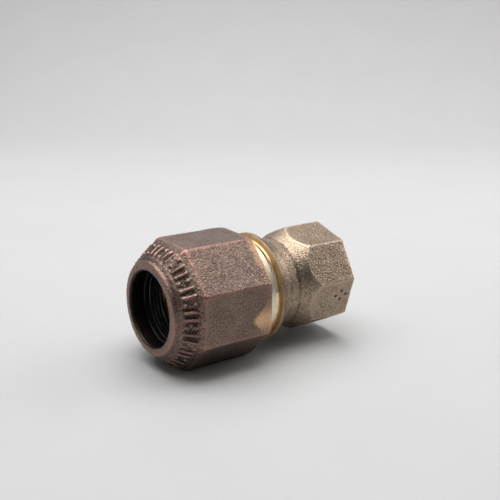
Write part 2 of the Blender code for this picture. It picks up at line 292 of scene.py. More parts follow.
def cast_skin(piece, soften, wave_height, grain_height, grain_size):
    soft_skin(piece, soften)
    for name, size, height in (("wave", WAVE_LENGTH, wave_height), ("sand", grain_size, grain_height)):
        texture = bpy.data.textures.new(f"{piece.name}_{name}", "CLOUDS")
        texture.noise_scale = size
        texture.noise_depth = 2
        apply_modifier(
            piece,
            "DISPLACE",
            texture=texture,
            strength=height,
            mid_level=SKIN_INWARDS,
            texture_coords="LOCAL",
        )
    print("  ", piece.name, "skin of", len(piece.data.polygons), "faces")


# %% [markdown]
# Handling rubs a casting on its edges first and never in its corners. Comparing each point with the average
# of its neighbourhood tells one from the other: it stands proud on an edge and lies low in a hollow. The
# result is kept as a point attribute, `wear`, from 0 in hollows through 0.5 on flats to 1 on edges.

# %% Wear attribute
WEAR_REACH = 30  # rounds of averaging, about a millimetre on this skin
WEAR_HEIGHT = 0.22 * MM  # how proud a point stands where the wear is full


def paint_wear(piece):
    """Stores how proud each point stands of its neighbourhood, averaging all points at once with numpy."""
    mesh = piece.data
    count = len(mesh.vertices)
    places = np.empty(count * 3)
    mesh.vertices.foreach_get("co", places)
    normals = np.empty(count * 3)
    mesh.vertices.foreach_get("normal", normals)
    ends = np.empty(len(mesh.edges) * 2, dtype=np.int64)
    mesh.edges.foreach_get("vertices", ends)
    places, normals, ends = places.reshape(-1, 3), normals.reshape(-1, 3), ends.reshape(-1, 2)
    both = np.concatenate((ends, ends[:, ::-1]))
    neighbours = np.maximum(np.bincount(both[:, 0], minlength=count), 1)
    average = places.copy()
    for _ in range(WEAR_REACH):
        average = np.stack(
            [np.bincount(both[:, 0], average[both[:, 1], k], count) / neighbours for k in range(3)], axis=1
        )
    proud = ((places - average) * normals).sum(axis=1)
    wear = np.clip(0.5 + 0.5 * proud / WEAR_HEIGHT, 0, 1)
    mesh.attributes.new("wear", "FLOAT", "POINT").data.foreach_set("value", wear)
    print("   wear on", piece.name, "from", round(float(wear.min()), 2), "to", round(float(wear.max()), 2))


# %% [markdown]
# ## Compression nut
#
# The nut is an octagon with a cone running up to a rounded lip. The cone is not a turned one: it joins a
# circle to an octagon, so it is made by pushing the octagon's face out and rounding it with To Sphere. The
# octagon's edges are cut into short lengths first, because a circle can only grow from enough points.

# %% Nut blank
TUBE_WAY = 11.43 * MM
LIP_RADIUS = 14.5 * MM
LIP_ROUND = 0.9 * MM
LIP_STEP = 0.8 * MM
CONE_FRONT = MOUTH + 1.6 * MM
FLATS_FRONT = MOUTH + 7.92 * MM
EDGE_CUTS = 15  # new points on each side of the octagon
EIGHTH = math.tau / 8


def octagon_bar(name, apothem, low, high, turn, cuts):
    """An octagonal bar from station low to high, its end edges cut so that a round can grow from them."""
    bpy.ops.object.select_all(action="DESELECT")
    bpy.ops.mesh.primitive_cylinder_add(
        vertices=8,
        radius=apothem / math.cos(EIGHTH / 2),
        depth=high - low,
        end_fill_type="NGON",
        location=((low + high) / 2, 0, 0),
        rotation=(0, math.pi / 2, 0),
    )
    bar = bpy.context.object
    bpy.ops.transform.rotate(value=turn, orient_axis="X", center_override=(0, 0, 0))
    settle(bar, name)
    open_mesh(bar, "EDGE")
    pick(bar, "EDGE", lambda place, edge: abs(edge.verts[0].co.x - edge.verts[1].co.x) < WELD)
    bpy.ops.mesh.subdivide(number_cuts=cuts)
    close_mesh()
    return bar


nut = octagon_bar("nut_casting", NUT_APOTHEM, FLATS_FRONT, NUT_REAR, EIGHTH / 2, EDGE_CUTS)
open_mesh(nut, "FACE")
pick(nut, "FACE", lambda place, face: face.normal.x < -0.9)  # the end that faces the mouth
push(CONE_FRONT - FLATS_FRONT, 1)
bpy.ops.transform.tosphere(value=1)
front = [v for v in bmesh.from_edit_mesh(nut.data).verts if v.select]
x, radius = CONE_FRONT, radius_of(front[0].co)
scale = (LIP_RADIUS + LIP_STEP) / radius
bpy.ops.transform.resize(value=(1, scale, scale), center_override=(0, 0, 0))
radius *= scale
lip = [(CONE_FRONT - 0.25 * MM, LIP_RADIUS + 0.3 * MM)]
lip += arc(MOUTH + LIP_ROUND, LIP_RADIUS - LIP_ROUND, LIP_ROUND, 90, 180)
for next_x, next_radius in lip:
    push(next_x - x, next_radius / radius)
    x, radius = next_x, next_radius
close_mesh()
print("nut blank of", len(nut.data.polygons), "faces")

# %% [markdown]
# The cone carries cast marks. On this fitting they are a plain ring of raised strokes and pips that says
# nothing, like the tally on a mould. Each is a small block softened with Bevel and laid on the cone's own
# slope at its place, which changes from the middle of a flat to its corner.

# %% Raised strokes on the cone
MARKS_PER_FLAT = 6
STROKE_WIDTH = 0.8 * MM
STROKE_HEIGHT = 0.42 * MM  # above the cone
STROKE_DEPTH = 1.2 * MM  # sunk into it
MARK_BEVEL = 0.25 * MM
STROKES = ((0.14, 0.7), (0.14, 0.7), None)  # where each starts and ends on the slope; None is a pair of pips
PIPS = (0.22, 0.6)  # where on the slope a pair of pips lies
PIP_LENGTH = 1.3 * STROKE_WIDTH
PIP_SPAN = 0.02  # a short stretch of slope that gives a pip its lean


def cone_point(angle, share):
    """A point on the cone: share 0 is the lip's circle and share 1 the octagon."""
    from_flat = angle % EIGHTH
    from_flat = min(from_flat, EIGHTH - from_flat)
    octagon = NUT_APOTHEM / math.cos(from_flat)
    away = (1 - share) * (LIP_RADIUS + LIP_STEP) + share * octagon
    return Vector((CONE_FRONT + share * (FLATS_FRONT - CONE_FRONT), 0, away))


def add_mark(name, length):
    bpy.ops.object.select_all(action="DESELECT")
    bpy.ops.mesh.primitive_cube_add(size=1, location=(0, 0, (STROKE_HEIGHT - STROKE_DEPTH) / 2))
    mark = bpy.context.object
    mark.scale = (length, STROKE_WIDTH, STROKE_HEIGHT + STROKE_DEPTH)
    settle(mark, name)
    apply_modifier(mark, "BEVEL", width=MARK_BEVEL, segments=2)
    return mark


def place_mark(mark, angle, low, high):
    """Copies a mark onto the cone between two shares of its slope."""
    start, end = cone_point(angle, low), cone_point(angle, high)
    slope = math.atan2(end.z - start.z, end.x - start.x)
    copied = mark.copy()
    copied.data = mark.data.copy()
    bpy.context.scene.collection.objects.link(copied)
    lean = Matrix.Rotation(-slope, 4, "Y")
    around = Matrix.Rotation(-angle, 4, "X")
    copied.data.transform(around @ Matrix.Translation((start + end) / 2) @ lean)
    return copied


marks = []
spacing = EIGHTH / MARKS_PER_FLAT
for number in range(8 * MARKS_PER_FLAT):
    angle = (number + 0.5) * spacing
    stroke = STROKES[number % len(STROKES)]
    if stroke:
        length = (cone_point(angle, stroke[1]) - cone_point(angle, stroke[0])).length
        made = add_mark("stroke", length)
        marks.append(place_mark(made, angle, *stroke))
        bpy.data.objects.remove(made, do_unlink=True)
    else:
        for pip in PIPS:
            made = add_mark("pip", PIP_LENGTH)
            marks.append(place_mark(made, angle, pip, pip + PIP_SPAN))
            bpy.data.objects.remove(made, do_unlink=True)
print(len(marks), "raised marks")

# %% [markdown]
# The rear corners of the nut are turned down on the lathe, so the blank is kept only where it lies inside a
# turned envelope. It is softened before the marks are joined to it and only lightly after, which leaves the
# flats' edges round and the marks crisp.

# %% Nut skin
REAR_TURN = 0.5 * MM
REAR_TURN_LENGTH = 3.0 * MM
BLANK_SOFTEN = 10
corner_radius = NUT_APOTHEM / math.cos(EIGHTH / 2)
envelope = lathe(
    "rear_envelope",
    [
        (MOUTH - 2 * MM, corner_radius + MM),
        (NUT_REAR - REAR_TURN_LENGTH - MM, corner_radius + MM),
        (NUT_REAR - REAR_TURN_LENGTH, corner_radius),
        (NUT_REAR, corner_radius - REAR_TURN),
    ],
)
boolean(nut, "INTERSECT", envelope, solver="EXACT")
soft_skin(nut, BLANK_SOFTEN)
only(nut)
for mark in marks:
    mark.select_set(True)
bpy.ops.object.join()
cast_skin(nut, soften=2, wave_height=0.14 * MM, grain_height=0.20 * MM, grain_size=0.5 * MM)
paint_wear(nut)

# %% [markdown]
# Wrench and box have rubbed the rear of the nut down to bright metal: a narrow band all round, and a longer
# tongue on one flat. This is a second attribute, `bare`, whose edge is broken up later by the grain. It could
# be painted with a brush, but four rubbed patches on a band take one formula and come out the same each time.

# %% Bare metal at the nut's rear
RUBBED = ((54, 20, 0.3, 0.3), (-9, 10, 4.2, 0.6), (135, 20, 0.2, 0.3), (-140, 16, 1.4, 0.4))
RUBBED_BAND = 2.6 * MM
RUBBED_EDGE = 2.0 * MM  # the stretch over which it fades
RUBBED_STRENGTH = 0.22  # of the band between the patches
RUBBED_SHOWS = 0.3  # strength from which the metal shows


def paint_bare(piece):
    """Each rubbed patch is (degrees round the axis, half width, extra reach in mm, extra brightness)."""
    places = np.empty(len(piece.data.vertices) * 3)
    piece.data.vertices.foreach_get("co", places)
    places = places.reshape(-1, 3)
    angles = np.degrees(np.arctan2(places[:, 2], -places[:, 1]))
    reach = np.full(len(places), RUBBED_BAND)
    strength = np.full(len(places), RUBBED_STRENGTH)
    for centre, half_width, extra, bright in RUBBED:
        near = np.exp(-(((angles - centre + 180) % 360 - 180) / half_width) ** 2)
        reach += extra * MM * near
        strength += bright * near
    bare = strength * np.clip(0.5 + (reach - (NUT_REAR - places[:, 0])) / RUBBED_EDGE, 0, 1)
    piece.data.attributes.new("bare", "FLOAT", "POINT").data.foreach_set("value", bare)
    print("   bare metal on", round(float((bare > RUBBED_SHOWS).mean()) * 100), "% of", piece.name)


paint_bare(nut)

# %% [markdown]
# Inside, the nut is machined: a bore for the tube, a chamber for the packing, a thread and a counterbore
# that slides over the body's land. One turned cutter makes all but the thread. It is cut after the skin, so
# machined faces stay true while the casting round them is rough. The thread's groove starts three turns ahead
# of the spigot, because the spigot moves into the nut when it is tightened.

# %% Nut bore and thread
PITCH = 2.309 * MM
THREAD_CORE = 14.75 * MM
THREAD_MAJOR = 15.85 * MM
THREAD_CLEARANCE = 0.27 * MM
LAND_RADIUS = 15.97 * MM
LIP_BACK = MOUTH + 4.7 * MM
LAND_START = NUT_REAR - 0.6 * MM
SHOULDER_GAP = 5.1 * MM
COUNTERBORE_START = LAND_START - SHOULDER_GAP
ROOT_WIDTH = 0.74 * PITCH
CREST_WIDTH = 0.22 * PITCH
FLANK_CLEARANCE = 0.32 * MM
LEAD_IN = 3  # turns
MOUTH_ROUND = 0.9 * MM
CHAMBER_CHAMFER = 0.4 * MM
COUNTERBORE_CLEARANCE = 0.3 * MM
COUNTERBORE_SLOPE = 1.3 * MM
REAR_CHAMFER = 0.5 * MM
PAST = MM  # a cutter goes this far past the face that it opens
chamber = THREAD_CORE + THREAD_CLEARANCE
counterbore = LAND_RADIUS + COUNTERBORE_CLEARANCE
mouth_flare = arc(MOUTH + MOUTH_ROUND, TUBE_WAY + MOUTH_ROUND, MOUTH_ROUND, 180, 270)
bore = lathe(
    "nut_bore",
    [(MOUTH - PAST, TUBE_WAY + MOUTH_ROUND + 0.2 * MM)]
    + mouth_flare
    + [
        (LIP_BACK, TUBE_WAY),
        (LIP_BACK, chamber - CHAMBER_CHAMFER),
        (LIP_BACK + CHAMBER_CHAMFER, chamber),
        (COUNTERBORE_START - COUNTERBORE_SLOPE, chamber),
        (COUNTERBORE_START, counterbore),
        (NUT_REAR - REAR_CHAMFER, counterbore),
        (NUT_REAR + PAST, counterbore + REAR_CHAMFER + PAST),
    ],
)
boolean(nut, "DIFFERENCE", bore)
groove = thread_coil(
    "nut_groove",
    chamber - THREAD_SINK,
    THREAD_MAJOR + THREAD_CLEARANCE,
    SPIGOT_FRONT + PITCH / 2 - LEAD_IN * PITCH,
    (COUNTERBORE_START - SPIGOT_FRONT) / PITCH + LEAD_IN,
    PITCH,
    ROOT_WIDTH + FLANK_CLEARANCE,
    CREST_WIDTH + FLANK_CLEARANCE,
)
boolean(nut, "DIFFERENCE", groove, solver="EXACT")

# %% [markdown]
# ## Body
#
# The body is one casting, finished on a lathe at its front. The cast part, neck and octagonal pipe end, is a
# turned cone whose sides are sliced flat eight times with Bisect, which leaves the curved front edges that
# every such fitting shows. The nut was built the other way round, because its edges there are straight.

# %% Body casting
NECK_RADIUS = 14.4 * MM
SHOULDER_RADIUS = LAND_RADIUS + 1.4 * MM
SHOULDER_FRONT = NUT_REAR + SHOULDER_GAP
SHOULDER_SLANT = 0.4 * MM
RIM_END = SHOULDER_FRONT + 1.5 * MM
POLISHED_LENGTH = 1.5 * MM
CONE_START = RIM_END + 9.15 * MM
BODY_FLATS_START = CONE_START + 5.5 * MM
BODY_APOTHEM = 15.95 * MM
BODY_TURN = math.radians(15)  # between the nut's flats and the body's
# how far past the rim, and how far over the neck's radius, in mm
NECK_CURVE = ((-0.8, 1.7), (0.1, 1.7), (0.9, 1.3), (2.2, 0.6), (4.6, 0.08))
body_corner = BODY_APOTHEM / math.cos(EIGHTH / 2)
cone_slope = (body_corner - NECK_RADIUS) / (BODY_FLATS_START - CONE_START)
blank_radius = body_corner + MM
casting = lathe(
    "body_casting",
    [(RIM_END + along * MM, NECK_RADIUS + over * MM) for along, over in NECK_CURVE]
    + [
        (CONE_START - 1.4 * MM, NECK_RADIUS + 0.05 * MM),
        (CONE_START + 0.8 * MM, NECK_RADIUS + 0.75 * MM),
        (BODY_FLATS_START + MM / cone_slope, blank_radius),
        (PIPE_END, blank_radius),
    ],
)
for side in range(8):
    angle = side * EIGHTH - BODY_TURN
    outward = Vector((0, -math.cos(angle), math.sin(angle)))
    open_mesh(casting, "FACE")
    bpy.ops.mesh.select_all(action="SELECT")
    bpy.ops.mesh.bisect(
        plane_co=outward * BODY_APOTHEM, plane_no=outward, use_fill=True, clear_outer=True
    )
    close_mesh()
cast_skin(casting, soften=3, wave_height=0.16 * MM, grain_height=0.17 * MM, grain_size=0.5 * MM)
paint_wear(casting)

# %% [markdown]
# Castings are often punched with a few marks before machining. Four dots in a diamond say nothing, and show
# how small a dent still catches the light.

# %% Punched dots
PUNCH_SIZE = 0.55 * MM
PUNCH_SPACING = 1.5 * MM
PUNCH_SINK = 0.15 * MM
DOTS_FROM_END = 4.6 * MM
DOTS_ASIDE = 1.2 * MM
DIAMOND_LENGTH = 1.4  # its length over its height


def punch(piece, angle, station, across):
    """Dents the flat that faces `angle` (from -Y towards +Z) with a round-nosed punch."""
    outward = Vector((0, -math.cos(angle), math.sin(angle)))
    sideways = Vector((0, math.sin(angle), math.cos(angle)))
    place = outward * (BODY_APOTHEM + PUNCH_SINK) + sideways * across + Vector((station, 0, 0))
    bpy.ops.object.select_all(action="DESELECT")
    bpy.ops.mesh.primitive_ico_sphere_add(subdivisions=3, radius=PUNCH_SIZE, location=place)
    boolean(piece, "DIFFERENCE", settle(bpy.context.object, "punch"))


for along, across in ((-1, 0), (0, 1), (1, 0), (0, -1)):
    punch(
        casting,
        -BODY_TURN,
        PIPE_END - DOTS_FROM_END + DIAMOND_LENGTH * along * PUNCH_SPACING,
        DOTS_ASIDE + across * PUNCH_SPACING,
    )

# %% [markdown]
# The front is turned bright: a spigot for the thread, the land that shows between nut and shoulder, and the
# shoulder's slanted face and rim. It could be cut from the casting, but its faces would then carry the skin's
# grain, so it is turned on its own and joined to the casting. The thread's ridge is joined last.

# %% Body front
SPIGOT_CHAMFER = 0.45 * MM
LAND_CHAMFER = 0.22 * MM
RIM_ROUND = 0.12 * MM
spigot = lathe(
    "spigot",
    [
        (SPIGOT_FRONT, THREAD_CORE - SPIGOT_CHAMFER),
        (SPIGOT_FRONT + SPIGOT_CHAMFER, THREAD_CORE),
        (LAND_START, THREAD_CORE),
        (LAND_START + SPIGOT_CHAMFER, LAND_RADIUS - LAND_CHAMFER),
        (LAND_START + SPIGOT_CHAMFER + LAND_CHAMFER, LAND_RADIUS),
        (SHOULDER_FRONT - POLISHED_LENGTH, LAND_RADIUS),
        (SHOULDER_FRONT, LAND_RADIUS),
        (SHOULDER_FRONT + SHOULDER_SLANT, SHOULDER_RADIUS - RIM_ROUND),
        (SHOULDER_FRONT + SHOULDER_SLANT + RIM_ROUND, SHOULDER_RADIUS),
        (RIM_END - 0.3 * MM, SHOULDER_RADIUS),
        (RIM_END - 0.08 * MM, SHOULDER_RADIUS - 0.1 * MM),
        (RIM_END, SHOULDER_RADIUS - 0.35 * MM),
        (RIM_END, NECK_RADIUS),
    ],
)
boolean(casting, "UNION", spigot)
ridge = thread_coil(
    "body_ridge",
    THREAD_CORE - THREAD_SINK,
    THREAD_MAJOR,
    SPIGOT_FRONT + PITCH / 2,
    (LAND_START - SPIGOT_FRONT) / PITCH - 1,
    PITCH,
    ROOT_WIDTH,
    CREST_WIDTH,
)
boolean(casting, "UNION", ridge, solver="EXACT")

# %% [markdown]
# One turned cutter opens the body from end to end: the gasket's tapered seat, the tube's socket and its stop,
# the relief behind the pipe thread and the mouth of the pipe end. Five separate drills would do the same, but
# in one section every step starts where the last one ends. A tapered coil then cuts the pipe thread.

# %% Body bores
SEAT_END = SPIGOT_FRONT + 5.2 * MM
TUBE_STOP = SEAT_END + 19.5 * MM
STOP_RADIUS = 9.63 * MM
PIPE_MAJOR = 13.25 * MM
PIPE_DEPTH = 1.15 * MM
PIPE_THREAD = 13.5 * MM
PIPE_PITCH = 25.4 / 14 * MM
PIPE_TAPER = 1 / 32
RELIEF_LENGTH = 3.2 * MM
RELIEF_START = PIPE_END - PIPE_THREAD - RELIEF_LENGTH
PIPE_CHAMFER = 0.7 * MM
STOP_CHAMFER = 0.25 * MM
inner_thread = PIPE_MAJOR - PIPE_DEPTH - PIPE_TAPER * PIPE_THREAD
bores = lathe(
    "body_bores",
    [
        (SPIGOT_FRONT - PAST, TUBE_WAY + 2.67 * MM + PAST),
        (SPIGOT_FRONT - 0.2 * MM, TUBE_WAY + 2.9 * MM),
        (SPIGOT_FRONT + 0.2 * MM, TUBE_WAY + 2.5 * MM),
        (SEAT_END, TUBE_WAY),
        (TUBE_STOP, TUBE_WAY),
        (TUBE_STOP, STOP_RADIUS + STOP_CHAMFER),
        (TUBE_STOP + STOP_CHAMFER, STOP_RADIUS),
        (RELIEF_START - PIPE_DEPTH, STOP_RADIUS),
        (RELIEF_START, inner_thread),
        (PIPE_END - PIPE_THREAD, inner_thread),
        (PIPE_END - PIPE_DEPTH - PIPE_CHAMFER, PIPE_MAJOR - PIPE_DEPTH),
        (PIPE_END, PIPE_MAJOR + PIPE_CHAMFER),
        (PIPE_END + PAST, PIPE_MAJOR + PIPE_CHAMFER + PAST),
    ],
)
boolean(casting, "DIFFERENCE", bores)
pipe_groove = thread_coil(
    "pipe_groove",
    PIPE_MAJOR - PIPE_DEPTH - THREAD_SINK,
    PIPE_MAJOR,
    PIPE_END - PIPE_THREAD,
    PIPE_THREAD / PIPE_PITCH + 1,
    PIPE_PITCH,
    0.78 * PIPE_PITCH,
    0.16 * PIPE_PITCH,
    PIPE_TAPER,
)
boolean(casting, "DIFFERENCE", pipe_groove, solver="EXACT")

# %% [markdown]
# ## Packing
#
# Four rings and a spring lie in the nut's chamber. Through the mouth they are only edges and a glint, but
# each has the form of the real one. The two washers are plain rings with rounded corners, turned from one
# closed section of four arcs, and their ends come from their own nodes in the frame.

# %% Slip washer and backing washer
PACKING_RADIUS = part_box("slip_washer")[1].z
WASHER_BORE = TUBE_WAY + 0.1 * MM


def washer(name, node, corner):
    low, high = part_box(node)
    return lathe(
        name,
        arc(low.x + corner, WASHER_BORE + corner, corner, 180, 270, 3)
        + arc(high.x - corner, WASHER_BORE + corner, corner, 270, 360, 3)
        + arc(high.x - corner, PACKING_RADIUS - corner, corner, 0, 90, 3)
        + arc(low.x + corner, PACKING_RADIUS - corner, corner, 90, 180, 3),
        hollow=True,
    )


slip_washer = washer("slip_washer_ring", "slip_washer", 0.35 * MM)
backing_washer = washer("backing_washer_ring", "backing_washer", 0.2 * MM)
print("washers of", len(slip_washer.data.polygons), "and", len(backing_washer.data.polygons), "faces")

# %% [markdown]
# The grip ring's bore is a row of saw teeth that bite the tube, and its cone, squeezed by the nut, closes
# them. The teeth could be cut one by one, but they are rings, so a zigzag section turned once makes them all.
# Only the slot that lets the ring close is not round, and a block saws it through at the end.

# %% Grip ring
grip_low, grip_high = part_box("grip_ring")
TEETH = 4
SAW_WIDTH = 2.2 * MM
tooth = (grip_high.x - grip_low.x) / TEETH
section = [(grip_low.x, TUBE_WAY + 0.12 * MM), (grip_low.x + 0.12 * MM, TUBE_WAY)]
for number in range(1, TEETH):
    x = grip_low.x + tooth * number
    section += [(x - 0.14 * MM, TUBE_WAY + 0.55 * MM), (x, TUBE_WAY)]
section += [
    (grip_high.x - 0.1 * MM, TUBE_WAY + 0.5 * MM),
    (grip_high.x, TUBE_WAY + 0.6 * MM),
    (grip_high.x, PACKING_RADIUS - 0.15 * MM),
    (grip_high.x - 0.15 * MM, PACKING_RADIUS),
    ((grip_low.x + grip_high.x) / 2, PACKING_RADIUS),
    (grip_low.x + 0.1 * MM, PACKING_RADIUS - 0.85 * MM),
    (grip_low.x, PACKING_RADIUS - 0.95 * MM),
]
grip_ring = lathe("grip_ring_teeth", section, hollow=True)
bpy.ops.object.select_all(action="DESELECT")
bpy.ops.mesh.primitive_cube_add(size=1, location=((grip_low.x + grip_high.x) / 2, 0, PACKING_RADIUS))
saw = bpy.context.object
saw.scale = (10 * MM, SAW_WIDTH, PACKING_RADIUS)
settle(saw, "saw_cut")
boolean(grip_ring, "DIFFERENCE", saw, solver="EXACT")

# %% [markdown]
# The gasket is moulded rubber: a heel that fills the chamber and a slimmer nose that the nut presses into the
# body's taper. It is one turned section with small rounded corners at the heel, because a moulded edge is
# never sharp.

# %% Gasket
gasket_low, gasket_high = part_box("gasket")
GASKET_BORE = TUBE_WAY + 0.05 * MM
HEEL_END = gasket_low.x + 3.4 * MM
HEEL_ROUND = 0.25 * MM
BORE_ROUND = 0.3 * MM
NOSE_RADIUS = TUBE_WAY + 2.37 * MM
gasket = lathe(
    "gasket_ring",
    arc(gasket_low.x + BORE_ROUND, GASKET_BORE + BORE_ROUND, BORE_ROUND, 180, 270, 3)
    + [(gasket_high.x, GASKET_BORE), (gasket_high.x, NOSE_RADIUS - 0.45 * MM)]
    + [(SPIGOT_FRONT, NOSE_RADIUS), (HEEL_END, NOSE_RADIUS)]
    + arc(HEEL_END - HEEL_ROUND, PACKING_RADIUS - HEEL_ROUND, HEEL_ROUND, 0, 90, 3)
    + arc(gasket_low.x + HEEL_ROUND, PACKING_RADIUS - HEEL_ROUND, HEEL_ROUND, 90, 180, 3),
    hollow=True,
)
print("gasket of", len(gasket.data.polygons), "faces")

# %% [markdown]
# The armour spring is a fine coil closed into a ring, which keeps the rubber from squeezing past the tube. Its
# wire follows a coil wound on a circle. An Array bent along a curve would make it too, but the formula joins
# end to start without a seam, and a curve's bevel gives the round wire.

# %% Armour spring
spring_low, spring_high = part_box("armour_spring")
WIRE = 0.18 * MM
COIL = (spring_high.x - spring_low.x) / 2 - WIRE
ring_radius = spring_high.y - COIL - WIRE
ring_middle = (spring_low.x + spring_high.x) / 2
TURNS = 48
POINTS_PER_TURN = 14
curve = bpy.data.curves.new("armour_wire", "CURVE")
curve.dimensions = "3D"
curve.bevel_depth = WIRE
curve.bevel_resolution = 2
spline = curve.splines.new("POLY")
points = TURNS * POINTS_PER_TURN
spline.points.add(points - 1)
spline.use_cyclic_u = True
for number, point in enumerate(spline.points):
    around = math.tau * number / points
    winding = TURNS * around
    away = ring_radius + COIL * math.cos(winding)
    along = ring_middle + COIL * math.sin(winding)
    point.co = (along, away * math.cos(around), away * math.sin(around), 1)
wire = bpy.data.objects.new("armour_wire", curve)
bpy.context.scene.collection.objects.link(wire)
only(wire)
bpy.ops.object.convert(target="MESH")
armour_spring = bpy.context.object
armour_spring.name = "armour_spring_coil"
print("spring of", TURNS, "turns,", len(armour_spring.data.polygons), "faces")

# %% [markdown]
# ## Materials
#
# Colours are chosen as sRGB hex values and turned to linear by one function, and one small function adds a
# node with its settings and links. Every pattern is measured in millimetres on Object coordinates, so it
# stays on a piece that moves and needs no unwrapping.

# %% Material helpers
def colour(hex_value):
    channels = [int(hex_value[k : k + 2], 16) / 255 for k in (1, 3, 5)]
    linear = [c / 12.92 if c <= 0.04045 else ((c + 0.055) / 1.055) ** 2.4 for c in channels]
    return (*linear, 1.0)


def add_node(tree, kind, settings=None, links=None):
    node = tree.nodes.new(kind)
    for key, value in (settings or {}).items():
        if isinstance(key, str) and hasattr(node, key):
            setattr(node, key, value)
        else:
            node.inputs[key].default_value = value
    for key, source in (links or {}).items():
        tree.links.new(source, node.inputs[key])
    return node


def new_material(name, metallic, roughness):
    material = bpy.data.materials.new(name)
    material.use_nodes = True
    shader = material.node_tree.nodes["Principled BSDF"]
    shader.inputs["Metallic"].default_value = metallic
    shader.inputs["Roughness"].default_value = roughness
    return material, material.node_tree, shader


def grain_noise(tree, size, detail=3.0, roughness=0.6):
    """Noise whose features are about this many metres across."""
    place = add_node(tree, "ShaderNodeTexCoord")
    return add_node(
        tree,
        "ShaderNodeTexNoise",
        {"Scale": 1 / size, "Detail": detail, "Roughness": roughness},
        {"Vector": place.outputs["Object"]},
    )


def blend(tree, share, first, second):
    """Mixes two colours; each is a hex value or a socket."""
    node = add_node(tree, "ShaderNodeMix", {"data_type": "RGBA"}, {0: share})
    for index, value in ((6, first), (7, second)):
        if isinstance(value, str):
            node.inputs[index].default_value = colour(value)
        else:
            tree.links.new(value, node.inputs[index])
    return node.outputs[2]


def stretch(tree, value, low, high, new_low=0.0, new_high=1.0):
    node = add_node(
        tree,
        "ShaderNodeMapRange",
        {"From Min": low, "From Max": high, "To Min": new_low, "To Max": new_high},
        {"Value": value},
    )
    return node.outputs["Result"]


# %% [markdown]
# The two castings are bronze with a different past. The nut is dark: it has a purplish brown oxide, worn to
# copper pink on the edges and to bare metal near its rear. The body is younger: tan grey, with paler grains.
# One function makes both. It lays colours over each other as they came about: oxide in slow blotches, paler
# specks on the grains, dirt between them, then whatever the wear and bare attributes have rubbed away.

# %% Cast bronze
BARE_BRONZE = "#dcb48b"


def cast_bronze(name, dark, pale, speck, edge, hollow, grain, roughness):
    """Sand-cast bronze: a dull metal, mottled by its oxide, with a grain of sand and edges rubbed paler."""
    material, tree, shader = new_material(name, 0.9, roughness)
    blotch = grain_noise(tree, 5 * MM)
    sand = grain_noise(tree, grain, detail=2.0, roughness=0.7)
    wear = add_node(tree, "ShaderNodeAttribute", {"attribute_name": "wear"})
    bare = add_node(tree, "ShaderNodeAttribute", {"attribute_name": "bare"})
    tone = blend(tree, stretch(tree, blotch.outputs["Fac"], 0.38, 0.62), dark, pale)
    tone = blend(tree, stretch(tree, sand.outputs["Fac"], 0.54, 0.7), tone, speck)
    tone = blend(tree, stretch(tree, sand.outputs["Fac"], 0.46, 0.28, new_high=0.85), tone, hollow)
    tone = blend(tree, stretch(tree, wear.outputs["Fac"], 0.6, 0.95), tone, edge)
    tone = blend(tree, stretch(tree, wear.outputs["Fac"], 0.46, 0.3), tone, hollow)
    broken = add_node(
        tree,
        "ShaderNodeMath",
        {"operation": "MULTIPLY_ADD", 1: 0.8},
        {0: sand.outputs["Fac"], 2: bare.outputs["Fac"]},
    )
    tone = blend(tree, stretch(tree, broken.outputs[0], 0.62, 1.35), tone, BARE_BRONZE)
    tree.links.new(tone, shader.inputs["Base Color"])
    rough = stretch(tree, sand.outputs["Fac"], 0.3, 0.7, roughness + 0.08, roughness - 0.08)
    tree.links.new(rough, shader.inputs["Roughness"])
    bump = add_node(
        tree, "ShaderNodeBump", {"Strength": 1.0, "Distance": 0.16 * MM}, {"Height": sand.outputs["Fac"]}
    )
    tree.links.new(bump.outputs["Normal"], shader.inputs["Normal"])
    return material


# a soft, dark sheen, with pink lines where two flats meet
nut_bronze = cast_bronze(
    "oxidised_cast_bronze",
    dark="#6f5c53",
    pale="#7e6a61",
    speck="#9f8677",
    edge="#98756a",
    hollow="#3b2f2a",
    grain=0.54 * MM,
    roughness=0.38,
)
# a sandy glitter, paler and a little shinier than the nut's
body_bronze = cast_bronze(
    "tan_cast_bronze",
    dark="#907d6b",
    pale="#9f8b78",
    speck="#c0ab93",
    edge="#b5a18b",
    hollow="#5d5045",
    grain=0.54 * MM,
    roughness=0.36,
)
print("cast bronzes:", nut_bronze.name, "and", body_bronze.name)


# %% [markdown]
# Turned metal keeps the marks of the tool: rings too fine to count, which stretch every highlight across
# them. A wave texture along X draws them as a faint bump. The anisotropic setting of the shader would stretch
# the highlight too, but it needs a tangent, and a bump also breaks up the edge of each reflection.

# %% Turned metals
WAVE_REPEAT = 2 / math.tau  # a wave texture of scale 1 repeats about this many metres apart


def turned_metal(name, tone, tarnish, roughness, ring_pitch, ring_height):
    """Lathe-turned metal: fine rings round the axis and a little uneven tarnish."""
    material, tree, shader = new_material(name, 1.0, roughness)
    cloud = grain_noise(tree, 4 * MM)
    mottled = blend(tree, stretch(tree, cloud.outputs["Fac"], 0.35, 0.7), tone, tarnish)
    tree.links.new(mottled, shader.inputs["Base Color"])
    place = add_node(tree, "ShaderNodeTexCoord")
    rings = add_node(
        tree,
        "ShaderNodeTexWave",
        {"bands_direction": "X", "Scale": WAVE_REPEAT / ring_pitch, "Distortion": 0.4, "Detail": 1.0},
        {"Vector": place.outputs["Object"]},
    )
    bump = add_node(
        tree, "ShaderNodeBump", {"Strength": 0.5, "Distance": ring_height}, {"Height": rings.outputs["Fac"]}
    )
    tree.links.new(bump.outputs["Normal"], shader.inputs["Normal"])
    return material


# the ring beside the shoulder: smooth enough to mirror the dark side of the room
polished_bronze = turned_metal("polished_bronze", "#e9dcc6", "#d9c7aa", 0.12, 0.35 * MM, 0.002 * MM)
